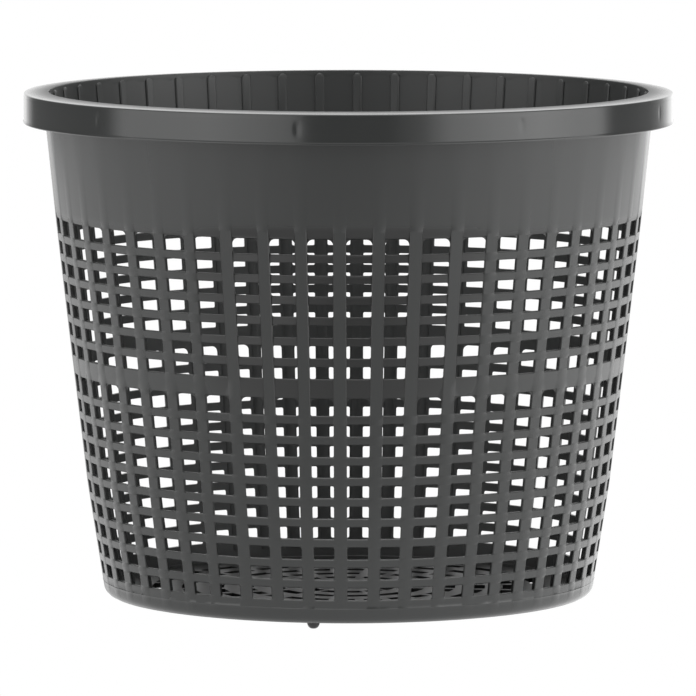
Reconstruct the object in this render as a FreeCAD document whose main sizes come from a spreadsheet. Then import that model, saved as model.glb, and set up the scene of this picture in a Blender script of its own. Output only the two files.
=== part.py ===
import FreeCAD, Part
import math
import os
import Sketcher

# A round pond planting basket, moulded in one piece of dark plastic.
# Its tapered wall has one flat side for each upright bar. The uprights are the
# outer skin of the wall and the hoops are its inner skin, so the uprights stand
# proud of the hoops, and a window is open wherever a slot between two uprights
# meets a gap between two hoops.
# Sizes are in millimetres and degrees. Z is up, the feet stand on Z = 0, the
# axis of the basket is the Z axis, and the front faces -Y.

doc = FreeCAD.newDocument("PondBasket")
sizes = doc.addObject("Spreadsheet::Sheet", "sizes")

SIZES = {
    # whole basket
    "body_height": 202.0,        # underside of the base to the top of the rim
    "rim_radius": 130.0,         # outside of the turned-down rim
    "top_radius": 122.4,         # outside of the wall, carried up to the rim's top
    "knee_radius": 104.3,        # outside of the wall where its taper changes
    "base_radius": 97.7,         # outside of the wall, carried down to the base
    "base_bevel": 4.0,           # bevel between the wall and the base
    "inner_bevel": 1.8,          # bevel inside, between the wall and the floor
    "wall_thick": 2.4,           # an upright and the hoop behind it
    "skin_thick": 1.1,           # how far the uprights stand in front of the hoops
    # lattice
    "columns": 48,
    "bar_width": 5.7,            # one upright
    "hoop_height": 3.2,          # one hoop
    "hoop_pitch": 16.3,          # one hoop to the next
    "lower_rows": 5,
    "knee_row": 2,               # rows of windows below the change of taper
    "lower_start": 9.5,          # base to the lowest windows
    "lower_height": 80.2,        # lower lot of windows, from end to end
    "band_height": 7.6,          # plain band between the two lots
    "upper_rows": 4,
    "upper_height": 54.9,        # upper lot of windows, from end to end
    "corner_angle": -93.2,       # one corner of the wall, from +X
    # rim
    "rim_thick": 2.0,
    "rim_drop": 12.5,
    "mouth_inset": 0.5,          # how far the rim's mouth stands inside the wall
    "mouth_bevel": 1.6,
    "web_count": 9,
    "web_thick": 1.6,
    "web_clear": 3.0,            # lower edge of the rim to the webs behind it
    "web_seat": 1.7,             # how deep the webs run into the wall
    # ribs inside the plain top of the wall
    "rib_width": 2.8,
    "rib_depth": 1.5,
    "rib_top_gap": 3.6,          # top of the rim to the ribs
    "rib_foot_gap": 4.0,         # top windows to the ribs
    # base
    "floor_thick": 2.2,
    "floor_spokes": 12,
    "floor_rings": 2,
    "hub_radius": 20.0,
    "spoke_width": 6.0,
    "ring_width": 6.0,
    "floor_edge": 9.0,           # outermost slots to the edge of the base
    # feet
    "foot_count": 3,
    "foot_sides": 8,
    "foot_height": 2.8,
    "foot_radius": 2.5,
    "foot_flat": 1.7,            # radius of the flat that each foot stands on
    "foot_circle": 89.5,
    "foot_angle": -98.9,         # first foot, from +X
}

for row, (name, value) in enumerate(SIZES.items(), start=1):
    sizes.set("A%d" % row, name)
    sizes.set("B%d" % row, str(value))
    sizes.setAlias("B%d" % row, name)
doc.recompute()

UP = FreeCAD.Vector(0, 0, 1)
TOUCH = 1e-6
ROUGH_PLACE = 50                 # a sketch's corners start on a small circle out here
ROUGH_RADIUS = 10


def of_sheet(formula):
    """The formula with each {size} read from the sheet."""
    return formula.replace("{", "sizes.").replace("}", "")


def stand(thing, height, turn):
    """Lifts a thing above the feet's plane and turns it about the axis, both by formulas."""
    thing.Placement = FreeCAD.Placement(FreeCAD.Vector(0, 0, 0), FreeCAD.Rotation(UP, 1))
    thing.setExpression(".Placement.Base.z", of_sheet(height))
    thing.setExpression(".Placement.Rotation.Angle", of_sheet("(%s) * 1 deg" % turn))


def polygon(name, sides, radius, height):
    """A level polygon above the base, its corners on the radius."""
    outline = doc.addObject("Part::RegularPolygon", name)
    outline.setExpression("Polygon", of_sheet(sides))
    outline.setExpression("Circumradius", of_sheet(radius))
    stand(outline, "{foot_height} + " + height, "{corner_angle}")
    return outline


def many_sided(name, levels, sides="{columns}"):
    """A solid with flat sides that runs through a polygon at each level."""
    loft = doc.addObject("Part::Loft", name)
    loft.Sections = [polygon("%s_%d" % (name, number), sides, radius, height)
                     for number, (radius, height) in enumerate(levels)]
    loft.Solid = True
    loft.Ruled = True
    return loft


def body_at(name, height, turn):
    body = doc.addObject("PartDesign::Body", name)
    body.AllowCompound = True
    stand(body, height, turn)
    return body


def drawing(body, name, plane, outlines):
    """A sketch of closed outlines, each corner held by a formula across and one up."""
    sketch = body.newObject("Sketcher::SketchObject", name)
    base = [item for item in body.Origin.OriginFeatures if item.Role == plane][0]
    sketch.AttachmentSupport = [(base, "")]
    sketch.MapMode = "FlatFace"
    first = 0
    for corners in outlines:
        count = len(corners)
        rough = [FreeCAD.Vector(
            ROUGH_PLACE + ROUGH_RADIUS * math.cos(2 * math.pi * number / count),
            ROUGH_PLACE + ROUGH_RADIUS * math.sin(2 * math.pi * number / count), 0)
            for number in range(count)]
        for number in range(count):
            sketch.addGeometry(Part.LineSegment(rough[number], rough[(number + 1) % count]))
        for number in range(count):
            following = first + (number + 1) % count
            sketch.addConstraint(
                Sketcher.Constraint("Coincident", first + number, 2, following, 1))
        for number, (across, along) in enumerate(corners):
            line = first + number
            for kind, formula, start in (("DistanceX", across, rough[number].x),
                                         ("DistanceY", along, rough[number].y)):
                index = sketch.addConstraint(
                    Sketcher.Constraint(kind, -1, 1, line, 1, start))
                label = "%s_%d" % (kind, line)
                sketch.renameConstraint(index, label)
                sketch.setExpression("Constraints." + label, of_sheet(formula))
        first += count
    return sketch


def pad(body, sketch, length):
    feature = body.newObject("PartDesign::Pad", body.Name + "_pad")
    feature.Profile = sketch
    feature.setExpression("Length", of_sheet(length))
    body.Tip = feature
    return feature


def turn_solid(body, sketch):
    """Revolves the sketch about the body's upright axis."""
    feature = body.newObject("PartDesign::Revolution", body.Name + "_turned")
    feature.Profile = sketch
    feature.ReferenceAxis = (sketch, ["V_Axis"])
    feature.Angle = 360
    body.Tip = feature
    return feature


def repeat_round(body, feature, count):
    """Repeats a feature evenly about the body's upright axis."""
    axis = [item for item in body.Origin.OriginFeatures if item.Role == "Z_Axis"][0]
    pattern = body.newObject("PartDesign::PolarPattern", body.Name + "_pattern")
    pattern.Originals = [feature]
    pattern.Axis = (axis, [""])
    pattern.Angle = 360
    pattern.setExpression("Occurrences", of_sheet(count))
    body.Tip = pattern
    return pattern


def join(kind, name, things):
    """A boolean or compound: MultiFuse and Compound take any number of things, the rest two."""
    result = doc.addObject("Part::" + kind, name)
    if kind == "MultiFuse":
        result.Shapes = things
    elif kind == "Compound":
        result.Links = things
    else:
        result.Base = things[0]
        result.Tool = things[1]
    return result


# heights above the base
UPPER_START = "({lower_start} + {lower_height} + {band_height})"
KNEE = "({lower_start} + {knee_row} * {hoop_pitch} - {hoop_height} / 2)"
BEVEL_RADIUS = ("({base_radius} + ({knee_radius} - {base_radius}) * {base_bevel} / %s)"
                % KNEE)
TOP = "({body_height} - {rim_thick})"
TOP_RADIUS = ("({top_radius} - ({top_radius} - {knee_radius}) * {rim_thick} / "
              "({body_height} - %s))" % KNEE)


def wall_levels(depth):
    """Levels of the wall's surface at a depth behind its outside, from bevel to rim."""
    return [(BEVEL_RADIUS + " - " + depth, "{base_bevel}"),
            ("{knee_radius} - " + depth, KNEE),
            (TOP_RADIUS + " - " + depth, TOP)]


# one column of the wall: an upright with the stretch of each hoop beside it
STEP = "(360 / {columns})"
column_sector = body_at("column_sector", "{foot_height} + {base_bevel}", "{corner_angle}")
sector_outline = drawing(column_sector, "column_sector_outline", "XY_Plane", [[
    ("0", "0"),
    ("{rim_radius}", "0"),
    ("{rim_radius}", "{rim_radius} * tan(%s)" % STEP)]])
pad(column_sector, sector_outline, TOP + " - {base_bevel}")

outside = many_sided("outside", wall_levels("0"))
inside = many_sided("inside", wall_levels("{wall_thick}"))
hoop_face = many_sided("hoop_face", wall_levels("{skin_thick}"))
rib_face = many_sided("rib_face", wall_levels("({wall_thick} + {rib_depth})"))
wall_blank = join("Cut", "wall_blank", [outside, inside])
column_blank = join("Common", "column_blank", [wall_blank, column_sector])
hoop_core = join("Common", "hoop_core", [hoop_face, column_sector])


# slots beside the upright reach in to the hoops
def slot(name, start, height):
    body = body_at(name, "{foot_height} + " + start, "{corner_angle}")
    outline = drawing(body, name + "_outline", "XY_Plane", [[
        ("{bar_width} / tan(%s)" % STEP, "{bar_width}"),
        ("{rim_radius}", "{bar_width}"),
        ("{rim_radius}", "{rim_radius} * tan(%s)" % STEP)]])
    pad(body, outline, height)
    return body


slots = join("Compound", "slots", [
    slot("lower_slot", "{lower_start}", "{lower_height}"),
    slot("upper_slot", UPPER_START, "{upper_height}")])
slot_tool = join("Cut", "slot_tool", [slots, hoop_core])


# gaps between the hoops reach out to the upright; the top one of a lot ends with the lot
def gaps(name, rows, start, height):
    made = []
    top = int(SIZES[rows]) - 1
    for row in range(top + 1):
        gap = doc.addObject("Part::Cylinder", "%s_%d" % (name, row + 1))
        gap.setExpression("Radius", of_sheet("{rim_radius}"))
        gap.setExpression("Height", of_sheet(
            "{hoop_pitch} - {hoop_height}" if row < top
            else "%s - %d * {hoop_pitch}" % (height, row)))
        gap.setExpression(".Placement.Base.z", of_sheet(
            "{foot_height} + %s + %d * {hoop_pitch}" % (start, row)))
        made.append(gap)
    return made


all_gaps = join("Compound", "all_gaps",
                gaps("lower_gap", "lower_rows", "{lower_start}", "{lower_height}")
                + gaps("upper_gap", "upper_rows", UPPER_START, "{upper_height}"))
gap_tool = join("Common", "gap_tool", [all_gaps, hoop_core])
openings = join("Compound", "openings", [slot_tool, gap_tool])
column_open = join("Cut", "column_open", [column_blank, openings])

# a rib inside the plain top of the wall, behind the upright
RIB_FOOT = "(%s + {upper_height} + {rib_foot_gap})" % UPPER_START
RIB_SIDE = "({bar_width} / 2 - {rib_width} / 2)"
rib = body_at("rib", "{foot_height} + " + RIB_FOOT, "{corner_angle}")
rib_outline = drawing(rib, "rib_outline", "XY_Plane", [[
    ("{base_radius}", RIB_SIDE),
    ("{rim_radius}", RIB_SIDE),
    ("{rim_radius}", RIB_SIDE + " + {rib_width}"),
    ("{base_radius}", RIB_SIDE + " + {rib_width}")]])
pad(rib, rib_outline, "{body_height} - {rib_top_gap} - " + RIB_FOOT)
rib_layer = join("Cut", "rib_layer", [hoop_core, rib_face])
rib_form = join("Common", "rib_form", [rib, rib_layer])
column = join("Fuse", "column", [column_open, rib_form])

# the wall is that column repeated round the axis
wall = doc.addObject("Part::Feature", "wall")


def turned(shape, angle):
    copy = shape.copy()
    copy.rotate(FreeCAD.Vector(0, 0, 0), UP, angle)
    return copy


def lies_across(face, angle):
    """True for a face in the upright plane through the axis at an angle."""
    normal = FreeCAD.Vector(-math.sin(math.radians(angle)), math.cos(math.radians(angle)), 0)
    return all(abs(corner.Point.dot(normal)) < TOUCH for corner in face.Vertexes)


def wall_shape(solid, count, angle):
    """One closed wall of like columns, without the faces where neighbours meet."""
    step = 360 / count
    near = [face for face in solid.Faces if lies_across(face, angle)]
    far = [face for face in solid.Faces if lies_across(face, angle + step)]
    skin = [face for face in solid.Faces
            if not lies_across(face, angle) and not lies_across(face, angle + step)]
    # the upright's side stays open to the slot of the column before it
    side = Part.Compound(near).cut(turned(Part.Compound(far), -step))
    shell_faces = [turned(face, number * step)
                   for number in range(count) for face in skin + side.Faces]
    joined = Part.Compound(shell_faces)
    joined.sewShape()
    solid_wall = Part.Solid(joined.Shells[0])
    if solid_wall.Volume < 0:
        solid_wall.reverse()
    return solid_wall


# base: a shallow dish with slots between its spokes and rings
dish = many_sided("dish", [
    ("{base_radius} - {base_bevel}", "0"),
    (BEVEL_RADIUS, "{base_bevel}")])
dish_inside = many_sided("dish_inside", [
    (BEVEL_RADIUS + " - {wall_thick} - {inner_bevel}", "{floor_thick}"),
    (BEVEL_RADIUS + " - {wall_thick}", "{base_bevel}")])
HALF_STEP = "(180 / {floor_spokes})"
FLOOR_REACH = "({base_radius} - {base_bevel} - {floor_edge})"
RING_PITCH = "((%s - {hub_radius} + {ring_width}) / {floor_rings})" % FLOOR_REACH


def floor_slot(ring):
    near = "({hub_radius} + %d * %s)" % (ring, RING_PITCH)
    far = "({hub_radius} + %d * %s - {ring_width})" % (ring + 1, RING_PITCH)
    half = "(%s * tan(" + HALF_STEP + ") - {spoke_width} / 2 / cos(" + HALF_STEP + "))"
    return [(near, "-" + half % near), (far, "-" + half % far),
            (far, half % far), (near, half % near)]


floor_slots = body_at("floor_slots", "{foot_height} - {floor_thick} / 2",
                      "{foot_angle} + " + HALF_STEP)
floor_outline = drawing(floor_slots, "floor_slots_outline", "XY_Plane",
                        [floor_slot(ring) for ring in range(int(SIZES["floor_rings"]))])
repeat_round(floor_slots, pad(floor_slots, floor_outline, "2 * {floor_thick}"),
             "{floor_spokes}")
base_hollow = join("Compound", "base_hollow", [dish_inside, floor_slots])
base = join("Cut", "base", [dish, base_hollow])

# rim: a flat top, a bevelled mouth and a skirt turned down all round
MOUTH = "(%s - {wall_thick} - {mouth_inset})" % TOP_RADIUS
rim = body_at("rim", "{foot_height}", "0")
rim_outline = drawing(rim, "rim_outline", "XZ_Plane", [[
    (MOUTH, TOP),
    ("{rim_radius} - {rim_thick}", TOP),
    ("{rim_radius} - {rim_thick}", "{body_height} - {rim_drop}"),
    ("{rim_radius}", "{body_height} - {rim_drop}"),
    ("{rim_radius}", "{body_height}"),
    (MOUTH + " + {mouth_bevel}", "{body_height}")]])
turn_solid(rim, rim_outline)

# webs between the wall and the rim's skirt
webs = body_at("webs", "{foot_height} + {body_height} - {rim_drop} + {web_clear}",
               "{foot_angle}")
web_outline = drawing(webs, "webs_outline", "XY_Plane", [[
    ("{top_radius} - {web_seat}", "-{web_thick} / 2"),
    ("{rim_radius} - {rim_thick} / 2", "-{web_thick} / 2"),
    ("{rim_radius} - {rim_thick} / 2", "{web_thick} / 2"),
    ("{top_radius} - {web_seat}", "{web_thick} / 2")]])
repeat_round(webs, pad(webs, web_outline, "{rim_drop} - {web_clear} - {rim_thick} / 2"),
             "{web_count}")

# feet: small tapered nubs
feet = []
for number in range(int(SIZES["foot_count"])):
    foot = many_sided("foot_%d" % (number + 1), [
        ("{foot_flat}", "-{foot_height}"),
        ("{foot_radius}", "0")], "{foot_sides}")
    turn = "({foot_angle} + %d * 360 / {foot_count})" % number
    foot.setExpression(".Placement.Base.x", of_sheet("{foot_circle} * cos(%s)" % turn))
    foot.setExpression(".Placement.Base.y", of_sheet("{foot_circle} * sin(%s)" % turn))
    feet.append(foot)

doc.recompute()
wall.Shape = wall_shape(column.Shape.Solids[0], int(sizes.columns), sizes.corner_angle)
basket = join("MultiFuse", "basket", [wall, base, rim, webs] + feet)
doc.recompute()

NODES = {"basket": basket}
for thing in doc.Objects:
    if "Invalid" in thing.State or "Error" in thing.State:
        raise RuntimeError("%s did not build" % thing.Name)
for name, thing in NODES.items():
    thing.Label = name
    if thing.Shape.isNull() or not thing.Shape.isValid():
        raise RuntimeError("%s has no sound shape" % name)
os.makedirs("parts", exist_ok=True)
for name, thing in NODES.items():
    thing.Shape.exportStep("parts/%s.step" % name)
    print("%s: %d solid, %d faces, %.1f cm3" % (
        name, len(thing.Shape.Solids), len(thing.Shape.Faces), thing.Shape.Volume / 1000))
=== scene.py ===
import math

import bpy
import numpy as np
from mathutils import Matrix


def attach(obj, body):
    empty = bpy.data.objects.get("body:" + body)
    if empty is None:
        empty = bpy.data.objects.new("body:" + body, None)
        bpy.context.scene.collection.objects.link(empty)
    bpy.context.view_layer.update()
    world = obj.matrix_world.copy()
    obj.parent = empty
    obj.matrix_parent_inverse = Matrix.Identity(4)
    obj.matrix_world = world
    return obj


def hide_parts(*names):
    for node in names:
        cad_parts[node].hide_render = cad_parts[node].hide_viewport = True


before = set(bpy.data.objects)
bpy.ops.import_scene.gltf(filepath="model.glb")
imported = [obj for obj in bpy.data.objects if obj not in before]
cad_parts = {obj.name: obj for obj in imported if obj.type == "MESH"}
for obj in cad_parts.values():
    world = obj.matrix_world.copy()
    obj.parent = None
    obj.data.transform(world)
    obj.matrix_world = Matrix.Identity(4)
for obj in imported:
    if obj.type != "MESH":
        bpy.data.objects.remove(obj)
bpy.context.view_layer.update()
print("frame loaded")

# The basket is one moulding. Lengths are millimetres over the base's underside until
# the mesh is made, and a bearing is in degrees from the front, towards +X.
basket = {
    "footHeight": 2.8,
    "bodyHeight": 202.0,
    "wallHeights": (0.0, 30.0, 45.0, 60.0, 105.0, 150.0, 201.0),
    "wallRadii": (97.7, 102.4, 104.75, 106.5, 111.85, 117.0, 122.3),
    "thickHeights": (0.0, 20.0, 155.0, 198.0),
    "wallThicks": (2.4, 1.9, 1.9, 2.4),
    "columns": 48,
    "firstUpright": -1.75,          # bearing of the upright at the front
    # number from the front, towards +X: shift towards +X and width of the uprights,
    # which are uneven where the slides of the mould meet
    "uneven": ((-8, 0, 5.5), (-6, 0.4, 5.4), (-5, 0.7, 5.1), (-4, 0.1, 4.8), (-3, 1.1, 5.1),
               (-2, 1.0, 4.7), (-1, 0.5, 4.8), (0, 0.1, 5.1), (1, -0.15, 4.9), (2, -1.0, 5.2),
               (3, -0.1, 5.2), (4, -0.2, 5.1), (5, -1.0, 5.2), (6, -2.0, 5.4), (7, -3.0, 5.3),
               (8, -4.0, 5.3), (10, -4.6, 5.4), (16, 0, 5.5)),
    "numbersFrom": -20,             # the uprights are numbered from here on
    "unevenHeight": 110.0,          # where those shifts are measured
    "spread": 0.65,                 # the uprights drift out this much on their way up
    "spreadFrom": 90.0,
    "spreadFull": 150.0,
    "spreadWhole": 3,               # uprights from the front to the whole drift
    "spreadEnd": 14,                # uprights from the front to none of it
    "spreadFade": 4,
    "edge": 0.28,                   # bevel along uprights, hoops and windows
    "corner": 0.55,                 # rounding of a window's corner
    "archCorner": 2.3,              # rounding at the top of rows that end a lot
    "rowPitch": 8.145,
    "windowHeight": 4.93,
    "lowerStart": 9.52,
    "lowerRows": 10,
    "lowerLast": 6.9,               # height of the arched windows of the lower lot
    "upperStart": 97.3,
    "upperRows": 7,
    "upperLast": 6.0,
    "recess": 1.1,                  # how far the front hoops stand behind the uprights
    "recessReach": 31.0,            # degrees from the middle of the front to no recess
    "recessFrom": 62.0,
    "recessFull": 135.0,
    "patchHeight": 5.6,             # the recess runs out over this height past a lot
    "patchFall": 1.2,
    "patchSteps": (0.0, 0.8, 1.6, 2.6, 3.8, 5.0),
    "sink": 0.24,                   # a soft sink over each of the highest windows
    "sinkHeight": 3.4,
    "hoopLean": 0.2,                # recessed hoops stand upright in the leaning wall
    "relief": 0.05,                 # how far the uprights stand out all round
    "reliefTop": 188.0,
    "topMargin": 0.8,               # from the highest windows to the plain top
    "plainFrom": 162.0,
    "plainTop": 200.6,
    "pullLimit": 38.0,              # most degrees between a window's pull and its radius
    "partingHeight": 6.1,
    "partingRidge": 0.2,
    "partingHalf": 0.18,
    "partingLeast": 0.45,           # share of the ridge where it is lowest
    "plainUnder": 5.0,              # height under the parting line from where it is plain
    "baseRound": 4.0,
    "lapRadius": 90.0,              # the wall's foot ends inside the floor
    "floorThick": 2.2,
    "innerRound": 0.35,
    "mattShadeBack": (0.06, 0.35),       # none and all of the matt finish and its painted shade, behind the uprights
    "mattShadeLow": 60.0,
    "mattShadeHigh": 160.0,
    "floorTop": 7.0,
    "floorBack": 2.0,
    "feetUnder": -0.05,             # the feet are what lies lower than this
    "innerBack": 1.6,               # what lies further back is the inner skin
    "dullBack": 1.85,
    "dullRadius": 95.0,
    "polishedRadius": (123.5, 125.0),
    "sharpAngle": 40.0,
    "seed": 7,
}


def place(bearing, radius, height):
    # point at a bearing, a radius and a height: x is the radius times the bearing's
    # sine, y is minus the radius times its cosine
    turn = np.radians(bearing)
    return np.stack(np.broadcast_arrays(
        radius * np.sin(turn), -radius * np.cos(turn), height), axis=-1)


def ease(value, start, end):
    # 0 before start, 1 after end, smooth between
    share = np.clip((value - start) / (end - start), 0, 1)
    return share * share * (3 - 2 * share)


class Shell:
    # gathers sheets of quads, then welds them into one mesh

    def __init__(self):
        self.points = []
        self.quads = []
        self.total = 0

    def addSheet(self, sheet, inward=False, keep=None):
        # quads over the last two axes of a stack of grids: row, column, xyz
        rows, columns = sheet.shape[-3], sheet.shape[-2]
        index = self.total + np.arange(sheet[..., 0].size).reshape(-1, rows, columns)
        quads = np.stack([index[:, :-1, :-1], index[:, :-1, 1:],
                          index[:, 1:, 1:], index[:, 1:, :-1]], axis=-1)
        if keep is not None:
            quads = quads[:, keep]
        quads = quads.reshape(-1, 4)
        self.points.append(sheet.reshape(-1, 3))
        self.quads.append(quads[:, ::-1] if inward else quads)
        self.total += sheet[..., 0].size

    def addFan(self, tip, arc, inward=False):
        # triangles from a tip to an arc, as a sheet whose first row is the tip
        tips = np.broadcast_to(tip[..., None, :], arc.shape)
        self.addSheet(np.stack([tips, arc], axis=-3), inward)

    def finished(self, name, sharpAngle):
        # weld equal points, turn collapsed quads into triangles or drop them
        points = np.concatenate(self.points)
        quads = np.concatenate(self.quads)
        first, index = np.unique(np.round(points, 3) + 0.0, axis=0,
                                 return_index=True, return_inverse=True)[1:]
        quads = index.reshape(-1)[quads]
        points = points[first]
        same = quads == np.roll(quads, -1, axis=1)
        crossed = (quads[:, 0] == quads[:, 2]) | (quads[:, 1] == quads[:, 3])
        whole = quads[(same.sum(axis=1) == 0) & ~crossed]
        three = (same.sum(axis=1) == 1) & ~crossed
        triangles = quads[three][~same[three]].reshape(-1, 3)
        mesh = bpy.data.meshes.new(name)
        points[:, 2] += basket["footHeight"]
        mesh.from_pydata((points * 0.001).tolist(), [], whole.tolist() + triangles.tolist())
        for kind, values in finishes(points).items():
            mesh.attributes.new(kind, "FLOAT", "POINT").data.foreach_set("value", values)
        mesh.validate()
        mesh.shade_smooth()
        mesh.set_sharp_from_angle(angle=math.radians(sharpAngle))
        print(name, "has", 2 * len(whole) + len(triangles), "triangles")
        return mesh


def wallRadius(height):
    # outside of the wall: straight between the listed heights and radii
    return np.interp(height, basket["wallHeights"], basket["wallRadii"])


def thickness(height):
    # of the wall: straight between the listed heights, thinner where the windows are
    return np.interp(height, basket["thickHeights"], basket["wallThicks"])


def pullBearing(middle):
    # windows of the front half are drawn straight forwards and those of the back half
    # straight backwards, but never more than the limit away from their own radius
    wrapped = (middle + 180) % 360 - 180
    local = wrapped - np.where(np.abs(wrapped) > 90, 180 * np.sign(wrapped), 0)
    return middle - np.clip(local, -basket["pullLimit"], basket["pullLimit"])


def acrossMiddle(bearing, reach):
    # 1 in the middle of the front and of the back, falling as a square to 0 at the reach
    fromMiddle = (bearing - basket["firstUpright"] + 90) % 180 - 90
    return np.clip(1 - (fromMiddle / reach) ** 2, 0, 1)


def hoopDepth(bearing, height, lean):
    # hoops stand back in the middle of the front and of the back, more so towards the
    # top, and past the highest windows the recess runs out
    across = acrossMiddle(bearing, basket["recessReach"])
    up = ease(height, basket["recessFrom"], basket["recessFull"])
    past = 1 - np.clip((height - windowTop) / basket["patchHeight"], 0, 1)
    share = across * up * past ** basket["patchFall"]
    relief = basket["relief"] * (1 - ease(height, windowTop, basket["reliefTop"]))
    sink = np.interp(height, [windowTop - basket["archCorner"], windowTop,
                              windowTop + basket["sinkHeight"]], [0, basket["sink"], 0])
    return (share * (basket["recess"] + basket["hoopLean"] * lean)
            + np.maximum(relief, sink) * (1 - share))


def outside(bearing, height, depth):
    # point of the outer skin, sunk by a depth
    return place(bearing, wallRadius(height) - depth, height)


def throughWall(bearing, height, depth, middle):
    # bearing on the inner skin of a point that the window's straight pull carries there:
    # its distance sideways from the pull, the radius times the sine, stays as it is
    start = wallRadius(height) - depth
    inner = wallRadius(height) - thickness(height)
    local = np.radians(bearing - middle)
    return middle + np.degrees(np.arcsin(np.clip(start * np.sin(local) / inner, -1, 1)))


def finishes(points):
    # share of the matt finish, whose darker colour is painted shade, on what lies back from the
    # uprights'
    #  face, on the floor and on the feet, of the polished one, on the rim, and of the dull one,
    #  inside
    height = points[:, 2] - basket["footHeight"]
    radius = np.hypot(points[:, 0], points[:, 1])
    back = wallRadius(height) - radius
    onLattice = (height > basket["mattShadeLow"]) & (height < basket["mattShadeHigh"])
    mattShade = ease(back, *basket["mattShadeBack"]) * (back < basket["innerBack"]) * onLattice
    onFloor = (height < basket["floorTop"]) & (back > basket["floorBack"])
    onFeet = height < basket["feetUnder"]
    dull = ease(back, basket["innerBack"], basket["dullBack"])
    return {"mattShade": np.maximum(mattShade, onFloor | onFeet),
            "polished": ease(radius, *basket["polishedRadius"]),
            "dull": dull * (radius > basket["dullRadius"])}


def insideOf(bearing, height):
    # point of the inner skin, the wall's thickness behind the outside
    return place(bearing, wallRadius(height) - thickness(height), height)


def windowRows():
    # bottom, top and top corner of each row, from the base up
    rows = []
    for start, count, last in ((basket["lowerStart"], basket["lowerRows"], basket["lowerLast"]),
                               (basket["upperStart"], basket["upperRows"], basket["upperLast"])):
        for number in range(count):
            low = start + number * basket["rowPitch"]
            ends = number == count - 1
            rows.append((low, low + (last if ends else basket["windowHeight"]),
                         basket["archCorner"] if ends else basket["corner"]))
    return rows


windowTop = windowRows()[-1][1]
pitchAngle = 360 / basket["columns"]
unevenAt, unevenShift, unevenWidth = np.array(basket["uneven"]).T
order = np.arange(basket["columns"])
fromFront = (order - basket["numbersFrom"]) % basket["columns"] + basket["numbersFrom"]
uprightWidths = np.interp(fromFront, unevenAt, unevenWidth)
uprights = basket["firstUpright"] + pitchAngle * order + np.degrees(
    np.interp(fromFront, unevenAt, unevenShift) / wallRadius(basket["unevenHeight"]))
spreading = (np.clip(fromFront / basket["spreadWhole"], -1, 1)
             * np.clip((basket["spreadEnd"] - np.abs(fromFront)) / basket["spreadFade"], 0, 1))
cellPull = pullBearing((uprights + np.append(uprights[1:], uprights[0] + 360)) / 2)[:, None, None]
arcSteps = np.radians(np.array([0.0, 45.0, 90.0]))
archSteps = np.radians(np.array([0.0, 18.0, 36.0, 54.0, 72.0, 90.0]))


def uprightLines(heights):
    # bearings of the uprights' middles at some heights: they drift apart going up
    low, high = basket["spreadFrom"], basket["spreadFull"]
    risen = np.clip((heights - low) / (high - low), 0, 1)
    drift = np.degrees(basket["spread"] / wallRadius(heights)) * risen
    return uprights[:, None] + spreading[:, None] * drift


def columnLines(heights, corners):
    # bearings of ten lines over a column, from the middle of an upright to the next:
    # middle, bevel, edge, edge again at the hoop, corner, and the same mirrored
    half = uprightWidths[:, None, None] / 2
    none = 0 * corners
    steps = np.stack([none, none - basket["edge"], none, none, corners], axis=-1)
    left = np.degrees((half * [0, 1, 1, 1, 1] + steps) / wallRadius(heights)[:, None])
    own = uprightLines(heights)
    following = np.concatenate([own[1:], own[:1] + 360])
    return np.concatenate([own[..., None] + left, following[..., None]
                           - np.roll(left, -1, axis=0)[..., ::-1]], axis=-1)


def outerGrid(heights, corners, inWindow, lean):
    # outer skin over every column: uprights stand at depth 0, hoops at their depth,
    # and the edge of an upright is bevelled as far as that depth lets it be
    bearings = columnLines(heights, corners)
    levels = heights[None, :, None]
    window = inWindow[None, :, None]
    hoop = hoopDepth(bearings, levels, lean[None, :, None])
    bevel = np.where(window, basket["edge"], np.minimum(basket["edge"], hoop))
    sunk = hoop + np.where(window, basket["edge"], 0)
    none = 0 * hoop
    depth = np.concatenate([none[..., :2], bevel[..., 2:3], sunk[..., 3:7],
                            bevel[..., 7:8], none[..., 8:]], axis=-1)
    return outside(bearings, levels, depth)


def innerGrid(heights, corners, lean):
    # inner skin over every column, its lines carried through by the window's pull
    bearings = columnLines(heights, corners)[..., [0, 3, 4, 5, 6, 9]]
    levels = heights[None, :, None]
    depth = hoopDepth(bearings, levels, lean[None, :, None]) + basket["edge"]
    carried = throughWall(bearings, levels, depth, cellPull)
    carried[..., 0] = bearings[..., 0]
    carried[..., -1] = bearings[..., -1]
    return insideOf(carried, levels)


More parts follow.
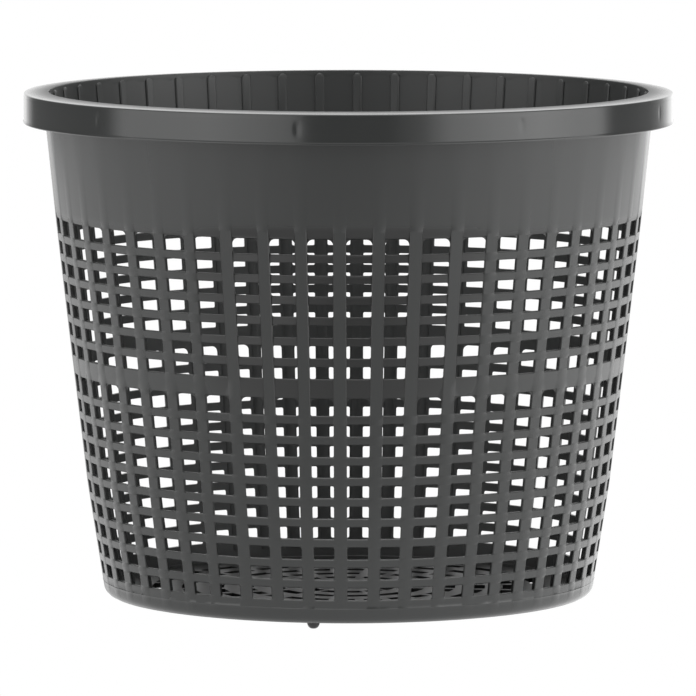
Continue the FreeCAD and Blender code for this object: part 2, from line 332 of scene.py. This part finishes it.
def addWindowRow(shell, low, high, topCorner, floorLevel, ceilingLevel):
    # one row of cells: hoop and uprights outside, opening, and inner skin
    edge, corner = basket["edge"], basket["corner"]
    heights = np.array([floorLevel, low - edge, low, low + corner,
                        high - topCorner, high, high + edge, ceilingLevel])
    lean = np.array([0.0, 1.0, 1.0, 0.0, 0.0, -1.0, -1.0, 0.0])
    corners = np.array([corner] * 4 + [topCorner] * 3 + [corner])
    inWindow = np.array([False, False, True, True, True, True, False, False])
    skin = outerGrid(heights, corners, inWindow, lean)
    keep = np.ones((7, 9), bool)
    keep[2:5, 3:6] = False
    shell.addSheet(skin, keep=keep)
    innerRows = [0, 2, 3, 4, 5, 7]
    lining = innerGrid(heights[innerRows], corners[innerRows], lean[innerRows])
    keep = np.ones((5, 5), bool)
    keep[1:4, 1:4] = False
    shell.addSheet(lining, inward=True, keep=keep)

    # the window's outline anticlockwise: each corner bends between two grid lines
    turns = archSteps if topCorner > corner else arcSteps
    outline = []
    for sideLine, cornerLine, sideRow, flatRow, steps, backwards in (
            (6, 5, 3, 2, arcSteps, True), (6, 5, 4, 5, turns, False),
            (3, 4, 4, 5, turns, True), (3, 4, 3, 2, arcSteps, False)):
        across, up = 1 - np.cos(steps), 1 - np.sin(steps)
        if backwards:
            across, up = across[::-1], up[::-1]
        level = heights[flatRow] + up * (heights[sideRow] - heights[flatRow])
        near = columnLines(level, corners[sideRow] + 0 * level)
        bearing = near[..., sideLine] + across * (near[..., cornerLine] - near[..., sideLine])
        outline.append((bearing, level + 0 * bearing, (sideLine, flatRow)))
    pull = cellPull[..., 0]

    def rings(bearing, level):
        # a stretch of the outline on the outer skin and, pulled through, on the inner
        depth = hoopDepth(bearing, level, np.interp(level, heights, lean)) + edge
        carried = throughWall(bearing, level, depth, pull)
        return outside(bearing, level, depth), insideOf(carried, level)

    innerLine = {3: 1, 6: 4}
    for number, (bearing, level, (sideLine, flatRow)) in enumerate(outline):
        front, back = rings(bearing, level)
        shell.addSheet(np.stack([front, back], axis=-3))
        shell.addFan(skin[:, flatRow, sideLine], front)
        shell.addFan(lining[:, innerRows.index(flatRow), innerLine[sideLine]], back, inward=True)
        following = outline[(number + 1) % 4]
        joinBearing = np.stack([bearing[..., -1], following[0][..., 0]], axis=-1)
        joinLevel = np.stack([level[..., -1], following[1][..., 0]], axis=-1)
        front, back = rings(joinBearing, joinLevel)
        shell.addSheet(np.stack([front, back], axis=-3))


def addWall(shell):
    # rows of windows, then the plain top and the foot; both ends close inside the plastic
    rows = windowRows()
    corner = basket["corner"]
    margin = basket["rowPitch"] - basket["windowHeight"]
    floors = [rows[0][0] - margin / 2]
    for below, above in zip(rows[:-1], rows[1:]):
        floors.append((below[1] + above[0]) / 2)
    floors.append(rows[-1][1] + basket["topMargin"])
    for number, (low, high, topCorner) in enumerate(rows):
        addWindowRow(shell, low, high, topCorner, floors[number], floors[number + 1])
    # plain top of the wall, up into the rim
    steps = floors[-1] + np.array(basket["patchSteps"])
    levels = np.append(steps, np.linspace(basket["plainFrom"], basket["plainTop"], 7))
    plain = np.zeros(len(levels), bool)
    skin = outerGrid(levels, corner + 0 * levels, plain, 0 * levels)
    shell.addSheet(skin)
    ends = levels[[0, len(steps), -1]]
    lining = innerGrid(ends, corner + 0 * ends, 0 * ends)
    shell.addSheet(lining, inward=True)
    closeEnds(shell, skin[:, -1], lining[:, -1], inward=False)
    # foot of the wall: parting line, rounded edge and underside
    parting = basket["partingHeight"]
    levels = np.array([floors[0], parting + basket["partingHalf"], parting,
                       parting - basket["partingHalf"], basket["plainUnder"],
                       basket["baseRound"]])
    plain = np.zeros(len(levels), bool)
    skin = outerGrid(levels, corner + 0 * levels, plain, 0 * levels)
    bearings = columnLines(levels, corner + 0 * levels)
    noise = np.random.default_rng(basket["seed"])
    least = basket["partingLeast"]
    nicks = basket["partingRidge"] * (least + (1 - least) * noise.random(bearings[:, 2].shape))
    nicks[:, -1] = np.roll(nicks[:, 0], -1)
    nicks[:, 3] = nicks[:, 2]
    nicks[:, 7] = nicks[:, 6]
    skin[:, 2] += place(bearings[:, 2], 1.0, 0.0) * nicks[..., None]
    bend = np.radians(np.linspace(0, 90, 6))[1:]
    start = wallRadius(basket["baseRound"]) - basket["relief"]
    flat = start - basket["baseRound"]
    radii = np.append(flat + (start - flat) * np.cos(bend), basket["lapRadius"])
    heights = np.append(basket["baseRound"] * (1 - np.sin(bend)), 0.0)
    under = place(bearings[:, -1:], radii[None, :, None], heights[None, :, None])
    skin = np.concatenate([skin, under], axis=1)
    shell.addSheet(skin, inward=True)
    # inside it a rounded corner leads to the floor
    start = basket["floorThick"] + basket["innerRound"]
    levels = np.array([floors[0], start])
    lining = innerGrid(levels, corner + 0 * levels, 0 * levels)
    inner = wallRadius(start) - thickness(start)
    bend = np.radians(np.array([30.0, 60.0, 90.0]))
    radii = np.append(inner - basket["innerRound"] * (1 - np.cos(bend)), basket["lapRadius"])
    heights = np.append(start - basket["innerRound"] * np.sin(bend), basket["floorThick"])
    turn = np.degrees(np.arctan2(lining[:, -1:, :, 0], -lining[:, -1:, :, 1]))
    lining = np.concatenate([lining, place(turn, radii[None, :, None],
                                           heights[None, :, None])], axis=1)
    shell.addSheet(lining)
    closeEnds(shell, skin[:, -1], lining[:, -1], inward=True)


def closeEnds(shell, outer, inner, inward):
    # joins ten outer lines to six inner ones, edge to edge
    pairs = np.stack([outer[:, [0, 1, 3, 4, 5, 6, 8, 9]],
                      inner[:, [0, 1, 1, 2, 3, 4, 4, 5]]], axis=1)
    shell.addSheet(pairs, inward=inward)


ribs = {
    "width": 3.8,
    "depth": 0.8,
    "latticeShare": 0.5,            # of the depth, beside the windows
    "soft": 0.4,
    "rooted": 0.7,                  # how deep its foot lies in the wall
    # levels at the bends of the wall; the depth grows between the last two
    "levels": (6.0, 20.0, 30.0, 45.0, 60.0, 105.0, 152.0, 162.0),
    "top": 200.9,
    "dome": 1.6,
    "domeLeast": 0.35,              # share of the depth at the tip
}


def addRibs(shell):
    # a rib is a low trapezium carried up the inner skin; its end narrows as a half circle
    dome = np.sin(np.radians(np.array([0.0, 25.0, 45.0, 65.0, 80.0, 88.0])))
    levels = np.append(ribs["levels"], ribs["top"] - ribs["dome"] * (1 - dome))
    narrow = np.append(np.ones(len(ribs["levels"])), np.sqrt(1 - dome ** 2))
    proud = np.interp(levels, ribs["levels"][-2:], [ribs["latticeShare"], 1])[:, None]
    half, soft, deep, rooted = ribs["width"] / 2, ribs["soft"], ribs["depth"], ribs["rooted"]
    across = np.array([-half, -half, soft - half, half - soft, half, half])
    depth = np.array([-rooted, deep - soft, deep, deep, deep - soft, -rooted])
    inner = (wallRadius(levels) - thickness(levels))[:, None]
    least = ribs["domeLeast"]
    low = np.where(depth > 0, depth * proud * (least + (1 - least) * narrow[:, None]), depth)
    angle = np.degrees(across * narrow[:, None] / inner)
    sheet = place(uprightLines(levels)[..., None] + angle, inner - low,
                  levels[:, None] + 0 * angle)
    ring = np.concatenate([sheet, sheet[..., :1, :]], axis=-2)
    shell.addSheet(ring, inward=True)
    for row, flip in ((0, False), (-1, True)):
        pairs = np.stack([sheet[:, row, :3], sheet[:, row, :2:-1]], axis=1)
        shell.addSheet(pairs, inward=flip)


rim = {
    "outerRadius": 130.0,
    "thick": 2.0,
    "drop": 12.5,
    "mouthRadius": 119.75,
    "mouthRound": 0.4,
    "slope": 0.5,                   # fall of the flat top from the mouth to the edge
    "edgeRound": 0.55,
    "footRound": 0.4,
    "guard": 0.25,                  # a line this far from a rounding keeps the flat flat
    "bead": 0.3,                    # the skirt's lower edge stands out this much
    "beadLevels": (1.1, 0.75),      # over the skirt's foot
    "lipHeight": 2.1,               # a faint crease in the skirt this far below the top
    "lipHalf": 0.15,
    "lipStep": 0.07,
    "skirtEnds": (0.5, 1.5),        # under the crease and over the skirt's foot
    "deck": 2.1,                    # under the top, the flat top's lower side
    "deckRound": 0.6,
    # radius and depth under the top where the rim ends inside the wall
    "deckEnd": ((121.9, 1.9), (121.0, 3.1)),
    "webs": 9,
    "firstWeb": -8.8,
    "webThick": 1.6,
    "webReach": (120.9, 128.9),
    "webFoot": 192.6,
    "webHead": 1.5,                 # under the top
    "markDepth": 0.13,
    "markWidth": 0.5,               # degrees
    "markHeight": 6.6,
    "markMiddle": 6.2,              # under the top
}


def addRim(shell):
    # profile turned round the axis: mouth, flat top, skirt, and back under the top
    top, outer = basket["bodyHeight"], rim["outerRadius"]
    low, inside = top - rim["drop"], rim["outerRadius"] - rim["thick"]
    bend = np.radians(np.linspace(0, 90, 5))
    mouth, small, foot = rim["mouthRadius"], rim["mouthRound"], rim["footRound"]
    edge, crease, guard = rim["edgeRound"], top - rim["lipHeight"], rim["guard"]
    face = outer - rim["bead"]
    lip = face - rim["lipStep"]
    flatEnd = top - rim["slope"]
    under = top - rim["deck"]
    endRadii, endDepths = np.array(rim["deckEnd"]).T
    skirt = np.linspace(crease - rim["skirtEnds"][0], low + rim["skirtEnds"][1], 11)
    radii = np.concatenate([
        [mouth], mouth + small * (1 - np.cos(bend)), [mouth + small + guard],
        [lip - edge - guard], lip - edge * (1 - np.sin(bend)), [lip, lip, face],
        face + 0 * skirt, [face, outer - 0.01], outer - foot * (1 - np.cos(bend)),
        [inside + 0.3, inside, inside, inside - rim["deckRound"]], endRadii])
    heights = np.concatenate([
        [top - endDepths[-1]], top - small * (1 - np.sin(bend)), [top - 0.02],
        [flatEnd + 0.02], flatEnd - edge * (1 - np.cos(bend)),
        [flatEnd - edge - guard, crease + rim["lipHalf"], crease - rim["lipHalf"]],
        skirt, low + np.array(rim["beadLevels"]), low + foot * (1 - np.sin(bend)),
        [low, low + 0.3, under - rim["deckRound"], under], top - endDepths])
    webStep = 360 / rim["webs"]
    webs = rim["firstWeb"] + webStep * np.arange(rim["webs"])
    near = rim["markWidth"] * np.array([-2.2, -1.5, -1.0, -0.5, 0.0, 0.5, 1.0, 1.5, 2.2])
    between = np.linspace(2.4, webStep - 2.4, 21)
    bearings = (webs[:, None] + np.concatenate([near, between])).ravel()
    bearings = np.append(bearings, bearings[0] + 360)
    fromWeb = (bearings - rim["firstWeb"] + webStep / 2) % webStep - webStep / 2
    mark = rim["markDepth"] * np.exp(-(fromWeb / rim["markWidth"]) ** 2)
    tall = (heights - top + rim["markMiddle"]) / (rim["markHeight"] / 2)
    onSkirt = np.clip(1 - tall ** 2, 0, 1) * (radii > outer - 1)
    sheet = place(bearings[:, None], radii - mark[:, None] * onSkirt, heights)
    ring = np.concatenate([sheet, sheet[:, :1]], axis=1)
    shell.addSheet(ring)
    # webs between the wall and the skirt
    half = rim["webThick"] / 2
    near, far = rim["webReach"]
    reach = np.array([near, far, far, near])
    side = np.array([-half, -half, half, half])
    angle = webs[:, None] + np.degrees(side / reach)
    foot = place(angle, reach, rim["webFoot"])
    head = place(angle, reach, top - rim["webHead"])
    box = np.stack([foot, head], axis=1)
    shell.addSheet(np.concatenate([box, box[:, :, :1]], axis=2))
    for level, flip in ((foot, True), (head, False)):
        shell.addSheet(np.stack([level[:, :2], level[:, :1:-1]], axis=1), inward=flip)


base = {
    "reach": 91.5,
    "low": 0.12,
    "high": 2.08,
    "firstSlot": 14.0,
    "slotPitch": 12.0,
    "slotWidth": 5.0,
    "slots": 6,
    "spokes": 24,
    "spokeWidth": 3.4,
    "spokeMost": 3.2,               # half width in degrees, near the middle
    "fullSpokesFrom": 37.0,
    "firstSpoke": -8.8,
    "feet": 3,
    "footCircle": 89.5,
    # radius and height of a foot's profile, from its root to the middle of its end
    "footProfile": ((2.5, 0.6), (2.45, -0.7), (2.3, -1.35), (2.0, -1.95), (1.6, -2.4),
                    (1.1, -2.68), (0.6, -2.8), (0.0, -2.8)),
}


def addBase(shell):
    # floor: a polar grid of solid and open cells with walls where they meet
    starts = base["firstSlot"] + base["slotPitch"] * np.arange(base["slots"])
    rings = np.sort(np.concatenate([[0], starts, starts + base["slotWidth"], [base["reach"]]]))
    half = np.degrees(np.minimum(base["spokeWidth"] / 2 / np.maximum(rings, 1),
                                 math.radians(base["spokeMost"])))
    step = 360 / base["spokes"]
    spokes = base["firstSpoke"] + step * np.arange(base["spokes"])
    share = np.array([0, 1 / 3, 2 / 3])
    gaps = half[:, None, None] + share * (step - 2 * half[:, None, None])
    lines = np.concatenate([-half[:, None, None], gaps], axis=-1) + spokes[None, :, None]
    bearings = lines.reshape(len(rings), -1)
    bearings = np.concatenate([bearings, bearings[:, :1] + 360], axis=1)
    solid = np.ones((len(rings) - 1, bearings.shape[1] - 1), bool)
    solid[1:-1:2] = False
    line = np.arange(solid.shape[1])
    atSpoke, atMainSpoke = line % 4 == 0, line % 8 == 0
    farOut = rings[:-1] >= base["fullSpokesFrom"]
    solid[np.ix_(farOut, atSpoke)] = True
    solid[np.ix_(~farOut, atMainSpoke)] = True
    high = place(bearings, rings[:, None], base["high"] + 0 * bearings)
    low = place(bearings, rings[:, None], base["low"] + 0 * bearings)
    shell.addSheet(high, inward=True, keep=solid)
    shell.addSheet(low, keep=solid)
    padded = np.pad(solid, ((0, 1), (0, 0)))
    for ring in range(1, len(rings)):
        inner, outer = padded[ring - 1], padded[ring]
        band = np.stack([low[ring], high[ring]])
        shell.addSheet(band, keep=(inner & ~outer)[None])
        shell.addSheet(band, inward=True, keep=(~inner & outer)[None])
    after = np.roll(solid, 1, axis=1)
    for line in range(solid.shape[1]):
        band = np.stack([low[:, line], high[:, line]])
        shell.addSheet(band, keep=(solid[:, line] & ~after[:, line])[None])
        shell.addSheet(band, inward=True, keep=(~solid[:, line] & after[:, line])[None])
    # feet: a small dome with a flat end, turned round its own axis
    radii, heights = np.array(base["footProfile"]).T
    turn = np.radians(np.linspace(0, 360, 25))
    for number in range(base["feet"]):
        centre = place(base["firstSpoke"] + 360 / base["feet"] * number, base["footCircle"], 0.0)
        ring = np.stack([np.cos(turn)[:, None] * radii, np.sin(turn)[:, None] * radii,
                         heights + 0 * turn[:, None]], axis=-1)
        shell.addSheet(ring + centre)
        lid = np.stack([ring[:, 0] * [0, 0, 1], ring[:, 0]])
        shell.addSheet(lid + centre, inward=True)


plastic = {
    "colour": (0.0165, 0.0176, 0.0172, 1.0),
    # darker colour where matt: painted shade behind the uprights and on the floor
    "paintedShadeColour": (0.006, 0.0062, 0.006, 1.0),
    "roughness": 0.26,
    "moreWhereMatt": 0.1,
    "lessWherePolished": 0.11,
    "moreWhereDull": 0.2,
    "flowRoughness": 0.05,
    "ior": 1.5,
    "flowScale": 90.0,
    "flowSqueeze": 0.06,            # along the height, so that it runs in streaks
    "flowBump": 0.07,
    "flowDepth": 0.0005,
    "grainScale": 900.0,
    "grainBump": 0.03,
    "grainDepth": 0.0002,
    "detail": 2.0,
}


def linkOrSet(tree, slot, value):
    # a socket's value is a link from another socket, or a number
    if isinstance(value, bpy.types.NodeSocket):
        tree.links.new(value, slot)
    elif value is not None:
        slot.default_value = value


def mathNode(tree, kind, first, second=None, third=None):
    # one arithmetic step on sockets or numbers
    node = tree.nodes.new("ShaderNodeMath")
    node.operation = kind
    for slot, value in zip(node.inputs, (first, second, third)):
        linkOrSet(tree, slot, value)
    return node.outputs[0]


def blendNode(tree, share, first, second):
    # first where share is 0, second where it is 1
    node = tree.nodes.new("ShaderNodeMix")
    linkOrSet(tree, node.inputs[0], share)
    linkOrSet(tree, node.inputs[2], first)
    linkOrSet(tree, node.inputs[3], second)
    return node.outputs[0]


def rampNode(tree, value, start, end, low=0.0, high=1.0):
    # low at start, high at end, smooth between
    node = tree.nodes.new("ShaderNodeMapRange")
    node.interpolation_type = "SMOOTHSTEP"
    for name, number in (("From Min", start), ("From Max", end),
                         ("To Min", low), ("To Max", high)):
        node.inputs[name].default_value = number
    tree.links.new(value, node.inputs["Value"])
    return node.outputs["Result"]


def noiseNode(tree, vector, scale, detail):
    # soft noise between 0 and 1, of so many waves to the metre
    node = tree.nodes.new("ShaderNodeTexNoise")
    node.inputs["Scale"].default_value = scale
    node.inputs["Detail"].default_value = detail
    tree.links.new(vector, node.inputs["Vector"])
    return node.outputs["Fac"]


def attributeNode(tree, name):
    # a share that the mesh carries at its points
    node = tree.nodes.new("ShaderNodeAttribute")
    node.attribute_name = name
    return node.outputs["Fac"]


def bumpNode(tree, height, strength, distance, normal=None):
    # the normal leans as if the surface rose by height times distance
    node = tree.nodes.new("ShaderNodeBump")
    node.inputs["Strength"].default_value = strength
    node.inputs["Distance"].default_value = distance
    tree.links.new(height, node.inputs["Height"])
    if normal is not None:
        tree.links.new(normal, node.inputs["Normal"])
    return node.outputs["Normal"]


def darkPlastic():
    # satin plastic: streaks of flow up the wall and a fine grain; roughness is its own
    #  value plus a share of the flow, more where matt or dull and less where polished; where matt
    #  the colour darkens, a painted shade
    material = bpy.data.materials.new("basketPlastic")
    material.use_nodes = True
    tree = material.node_tree
    shader = tree.nodes["Principled BSDF"]
    shader.inputs["IOR"].default_value = plastic["ior"]
    where = tree.nodes.new("ShaderNodeTexCoord").outputs["Object"]
    squeeze = tree.nodes.new("ShaderNodeMapping")
    squeeze.inputs["Scale"].default_value = (1.0, 1.0, plastic["flowSqueeze"])
    tree.links.new(where, squeeze.inputs["Vector"])
    flow = noiseNode(tree, squeeze.outputs["Vector"], plastic["flowScale"], plastic["detail"])
    grain = noiseNode(tree, where, plastic["grainScale"], plastic["detail"])
    mattShade, polished, dull = (attributeNode(tree, name) for name in ("mattShade", "polished", "dull"))
    # the base colour turns to the darker one where matt: painted shade in the recesses and on the
    # floor
    colour = tree.nodes.new("ShaderNodeMix")
    colour.data_type = "RGBA"
    colour.inputs[6].default_value = plastic["colour"]
    colour.inputs[7].default_value = plastic["paintedShadeColour"]
    tree.links.new(mattShade, colour.inputs[0])
    tree.links.new(colour.outputs[2], shader.inputs["Base Color"])
    rough = mathNode(tree, "MULTIPLY_ADD", flow, plastic["flowRoughness"],
                     plastic["roughness"] - plastic["flowRoughness"] / 2)
    rough = mathNode(tree, "MULTIPLY_ADD", mattShade, plastic["moreWhereMatt"], rough)
    rough = mathNode(tree, "MULTIPLY_ADD", polished, -plastic["lessWherePolished"], rough)
    rough = mathNode(tree, "MULTIPLY_ADD", dull, plastic["moreWhereDull"], rough)
    tree.links.new(rough, shader.inputs["Roughness"])
    streaks = bumpNode(tree, flow, plastic["flowBump"], plastic["flowDepth"])
    grained = bumpNode(tree, grain, plastic["grainBump"], plastic["grainDepth"], streaks)
    tree.links.new(grained, shader.inputs["Normal"])
    return material


shell = Shell()
addWall(shell)
addRibs(shell)
addRim(shell)
addBase(shell)
moulded = shell.finished("basket_moulding", basket["sharpAngle"])
moulding = bpy.data.objects.new("basket_moulding", moulded)
bpy.context.scene.collection.objects.link(moulding)
moulding.data.materials.append(darkPlastic())
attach(moulding, "root")
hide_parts("basket")
print("basket moulded")

studio = {
    "floorRadius": 1.5,
    "footprint": 0.089,             # the floor gives no light under the basket: a painted shadow
    "footprintSoft": 0.004,
    "floorGlow": 0.9,
    "floorNearGlow": 0.3,           # more round the basket's foot
    "floorNear": (0.12, 0.35),      # radii where that is all and none
    "floorSideGlow": 0.85,
    "floorSide": (0.1, 0.5, 0.3, 1.0),      # two radii and the share of it at each
    "floorRightGlow": 0.22,
    "dome": 1.0,
    "domeRise": (0.3, 0.5),         # from the horizon's light to the dome's
    "overhead": 2.0,
    "overheadRise": (0.75, 0.93),
    # bearing from the front and brightness near the horizon: soft boxes left and right
    # of the camera, black cards beside the basket, a white wall behind it
    "horizon": ((-180, 1.25), (-172, 1.3), (-164, 1.5), (-150, 0.2), (-94, 0.4), (-87, 2.2),
                (-50, 2.8), (-24, 1.9), (-18, 1.6), (-14, 0.3), (14, 0.3), (26, 0.9),
                (36, 2.5), (56, 3.4), (72, 3.9), (90, 2.8), (100, 2.5), (106, 0.3),
                (135, 0.35), (148, 0.8), (158, 1.8), (168, 1.8), (175, 1.25), (180, 1.25)),
    "horizonMost": 4.0,
}


def makeFloor():
    # a white disc: plain white to the camera, and for the plastic a glow that is a sum
    #  of an even one, one near the foot and two towards the sides, and none underneath, a painted
    #  shadow of the basket
    bpy.ops.mesh.primitive_circle_add(vertices=96, radius=studio["floorRadius"],
                                      fill_type="NGON")
    floor = bpy.context.object
    floor.name = "floor"
    paint = bpy.data.materials.new("floorPaint")
    paint.use_nodes = True
    tree = paint.node_tree
    tree.nodes.remove(tree.nodes["Principled BSDF"])
    where = tree.nodes.new("ShaderNodeTexCoord")
    split = tree.nodes.new("ShaderNodeSeparateXYZ")
    tree.links.new(where.outputs["Object"], split.inputs[0])
    across = mathNode(tree, "MULTIPLY", split.outputs["X"], split.outputs["X"])
    along = mathNode(tree, "MULTIPLY", split.outputs["Y"], split.outputs["Y"])
    square = mathNode(tree, "ADD", across, along)
    radius = mathNode(tree, "SQRT", square)
    right = mathNode(tree, "DIVIDE", split.outputs["X"], mathNode(tree, "ADD", radius, 0.001))
    sideways = mathNode(tree, "MULTIPLY", mathNode(tree, "MULTIPLY", right, right),
                        rampNode(tree, radius, *studio["floorSide"]))
    near = rampNode(tree, radius, *studio["floorNear"], studio["floorNearGlow"], 0.0)
    glow = mathNode(tree, "ADD", near, studio["floorGlow"])
    glow = mathNode(tree, "MULTIPLY_ADD", sideways, studio["floorSideGlow"], glow)
    glow = mathNode(tree, "MULTIPLY_ADD", right, studio["floorRightGlow"], glow)
    # painted shadow: the glow falls to nothing under the basket
    outsideShadow = rampNode(tree, radius, studio["footprint"] - studio["footprintSoft"],
                     studio["footprint"])
    path = tree.nodes.new("ShaderNodeLightPath")
    light = tree.nodes.new("ShaderNodeEmission")
    tree.links.new(blendNode(tree, path.outputs["Is Camera Ray"],
                             mathNode(tree, "MULTIPLY", glow, outsideShadow), 1.0),
                   light.inputs["Strength"])
    tree.links.new(light.outputs[0], tree.nodes["Material Output"].inputs["Surface"])
    floor.data.materials.append(paint)


def makeWorld():
    # brightness by bearing near the horizon, an even dome over it, more straight above
    world = bpy.data.worlds.new("studioLight")
    world.use_nodes = True
    tree = world.node_tree
    where = tree.nodes.new("ShaderNodeTexCoord")
    split = tree.nodes.new("ShaderNodeSeparateXYZ")
    tree.links.new(where.outputs["Generated"], split.inputs[0])
    turn = mathNode(tree, "ARCTAN2", split.outputs["X"],
                    mathNode(tree, "MULTIPLY", split.outputs["Y"], -1.0))
    share = mathNode(tree, "MULTIPLY_ADD", turn, 0.5 / math.pi, 0.5)
    ramp = tree.nodes.new("ShaderNodeValToRGB")
    stops = ramp.color_ramp.elements
    most = studio["horizonMost"]
    for number, (bearing, level) in enumerate(studio["horizon"]):
        position = (bearing + 180) / 360
        stop = stops[0] if number == 0 else stops.new(position) if number > 1 else stops[1]
        stop.position = position
        stop.color = (level / most, level / most, level / most, 1.0)
    tree.links.new(share, ramp.inputs[0])
    horizon = mathNode(tree, "MULTIPLY", ramp.outputs["Color"], most)
    height = split.outputs["Z"]
    dome = rampNode(tree, height, *studio["overheadRise"], studio["dome"],
                    studio["dome"] + studio["overhead"])
    glow = blendNode(tree, rampNode(tree, height, *studio["domeRise"]), horizon, dome)
    path = tree.nodes.new("ShaderNodeLightPath")
    tree.links.new(blendNode(tree, path.outputs["Is Camera Ray"], glow, 1.0),
                   tree.nodes["Background"].inputs["Strength"])
    tree.nodes["Background"].inputs["Color"].default_value = (1.0, 1.0, 1.0, 1.0)
    bpy.context.scene.world = world


makeFloor()
makeWorld()
print("studio set up")

camera = {
    "distance": 3.162,
    "height": 0.4236,
    "tilt": 0.1016,                 # radians below the horizon
    "focalPixels": 7929.0,
    "framePixels": 696.0,
    "middleColumn": 348.48,
    "sensor": 36.0,                 # millimetres
    "farthest": 200.0,
}


def makeCamera():
    # focal length over sensor is focal pixels over frame pixels; the shift is a share
    # of the frame
    data = bpy.data.cameras.new("camera")
    data.sensor_width = camera["sensor"]
    data.lens = camera["sensor"] * camera["focalPixels"] / camera["framePixels"]
    data.shift_x = -(camera["middleColumn"] - camera["framePixels"] / 2) / camera["framePixels"]
    data.clip_end = camera["farthest"]
    eye = bpy.data.objects.new("camera", data)
    eye.location = (0.0, -camera["distance"], camera["height"])
    eye.rotation_euler = (math.pi / 2 - camera["tilt"], 0.0, 0.0)
    bpy.context.scene.collection.objects.link(eye)
    bpy.context.scene.camera = eye


makeCamera()
bpy.context.scene.view_settings.view_transform = "Standard"
print("camera placed")
